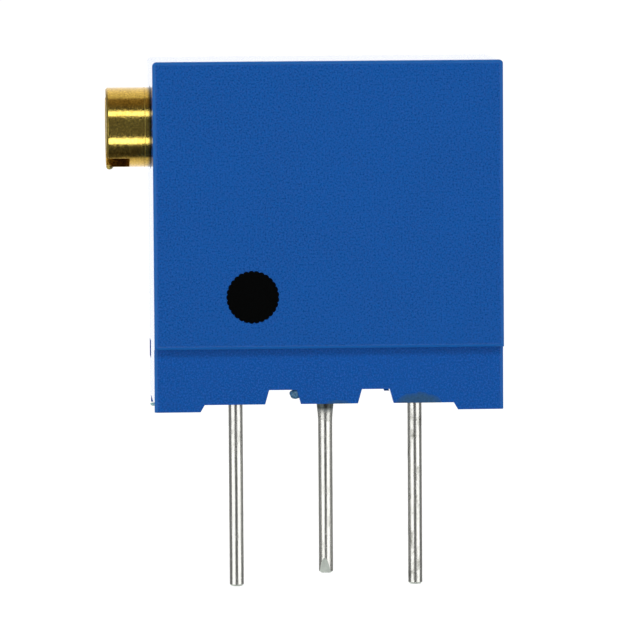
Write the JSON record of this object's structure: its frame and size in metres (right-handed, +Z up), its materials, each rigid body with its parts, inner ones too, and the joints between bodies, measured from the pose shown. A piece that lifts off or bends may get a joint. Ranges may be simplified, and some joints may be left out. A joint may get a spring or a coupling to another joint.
{
  "type": "trimmer potentiometer",
  "caption": "Square multi-turn trimmer potentiometer with a slotted brass screw in its side, a worm drive and wiper inside, and in-line wire terminals below.",
  "frame": {"origin": "on the axis of the middle terminal, in the seating plane of the four corner feet", "axes": "+X away from the screw head, +Y from the front face to the back, +Z up from the terminals to the top face"},
  "size_m": [0.011, 0.005, 0.015],
  "materials": {
    "housing_blue": "moulded thermoset, fine matt grain on the large faces",
    "base_blue": "moulded thermoset, slightly glossier than the cap",
    "sealing_resin": "cast epoxy, glossy, with menisci on the wires",
    "screw_brass": "turned brass, bright, with fine tool marks",
    "ring_rubber": "black rubber",
    "clip_steel": "stamped spring steel",
    "wheel_plastic": "moulded natural plastic",
    "wiper_alloy": "rolled spring alloy",
    "ceramic": "fired white ceramic",
    "resistor_film": "fired resistor film, matt black",
    "conductor_film": "fired silver film",
    "tinned_wire": "drawn copper wire, bright tin plating with fine lengthwise marks",
    "solder": "solder, satin"
  },
  "bodies": {
    "housing": {"cap": "housing_blue", "base": "base_blue", "epoxy_seal": "sealing_resin", "substrate": "ceramic", "resistor_track": "resistor_film", "collector": "conductor_film", "end_pad_1": "conductor_film", "end_pad_3": "conductor_film", "terminal_1": "tinned_wire", "terminal_2": "tinned_wire", "terminal_3": "tinned_wire", "solder_joint_1": "solder", "solder_joint_2": "solder", "solder_joint_3": "solder"},
    "screw": {"adjustment_screw": "screw_brass", "o_ring": "ring_rubber", "screw_clip": "clip_steel"},
    "rotor": {"worm_wheel": "wheel_plastic", "wiper": "wiper_alloy"}
  },
  "joints": [
    {"name": "screw_turn", "type": "hinge", "parent": "housing", "child": "screw", "pos_m": [0, 0, 0.0079], "axis": [1, 0, 0], "range_deg": [-3960, 3960]},
    {"name": "rotor_turn", "type": "hinge", "parent": "housing", "child": "rotor", "pos_m": [0, 0, 0.00475], "axis": [0, 1, 0], "range_deg": [-141.43, 141.43]}
  ],
  "couplings": [
    {"joint": "rotor_turn", "follows": "screw_turn", "ratio": -0.035714}
  ]
}
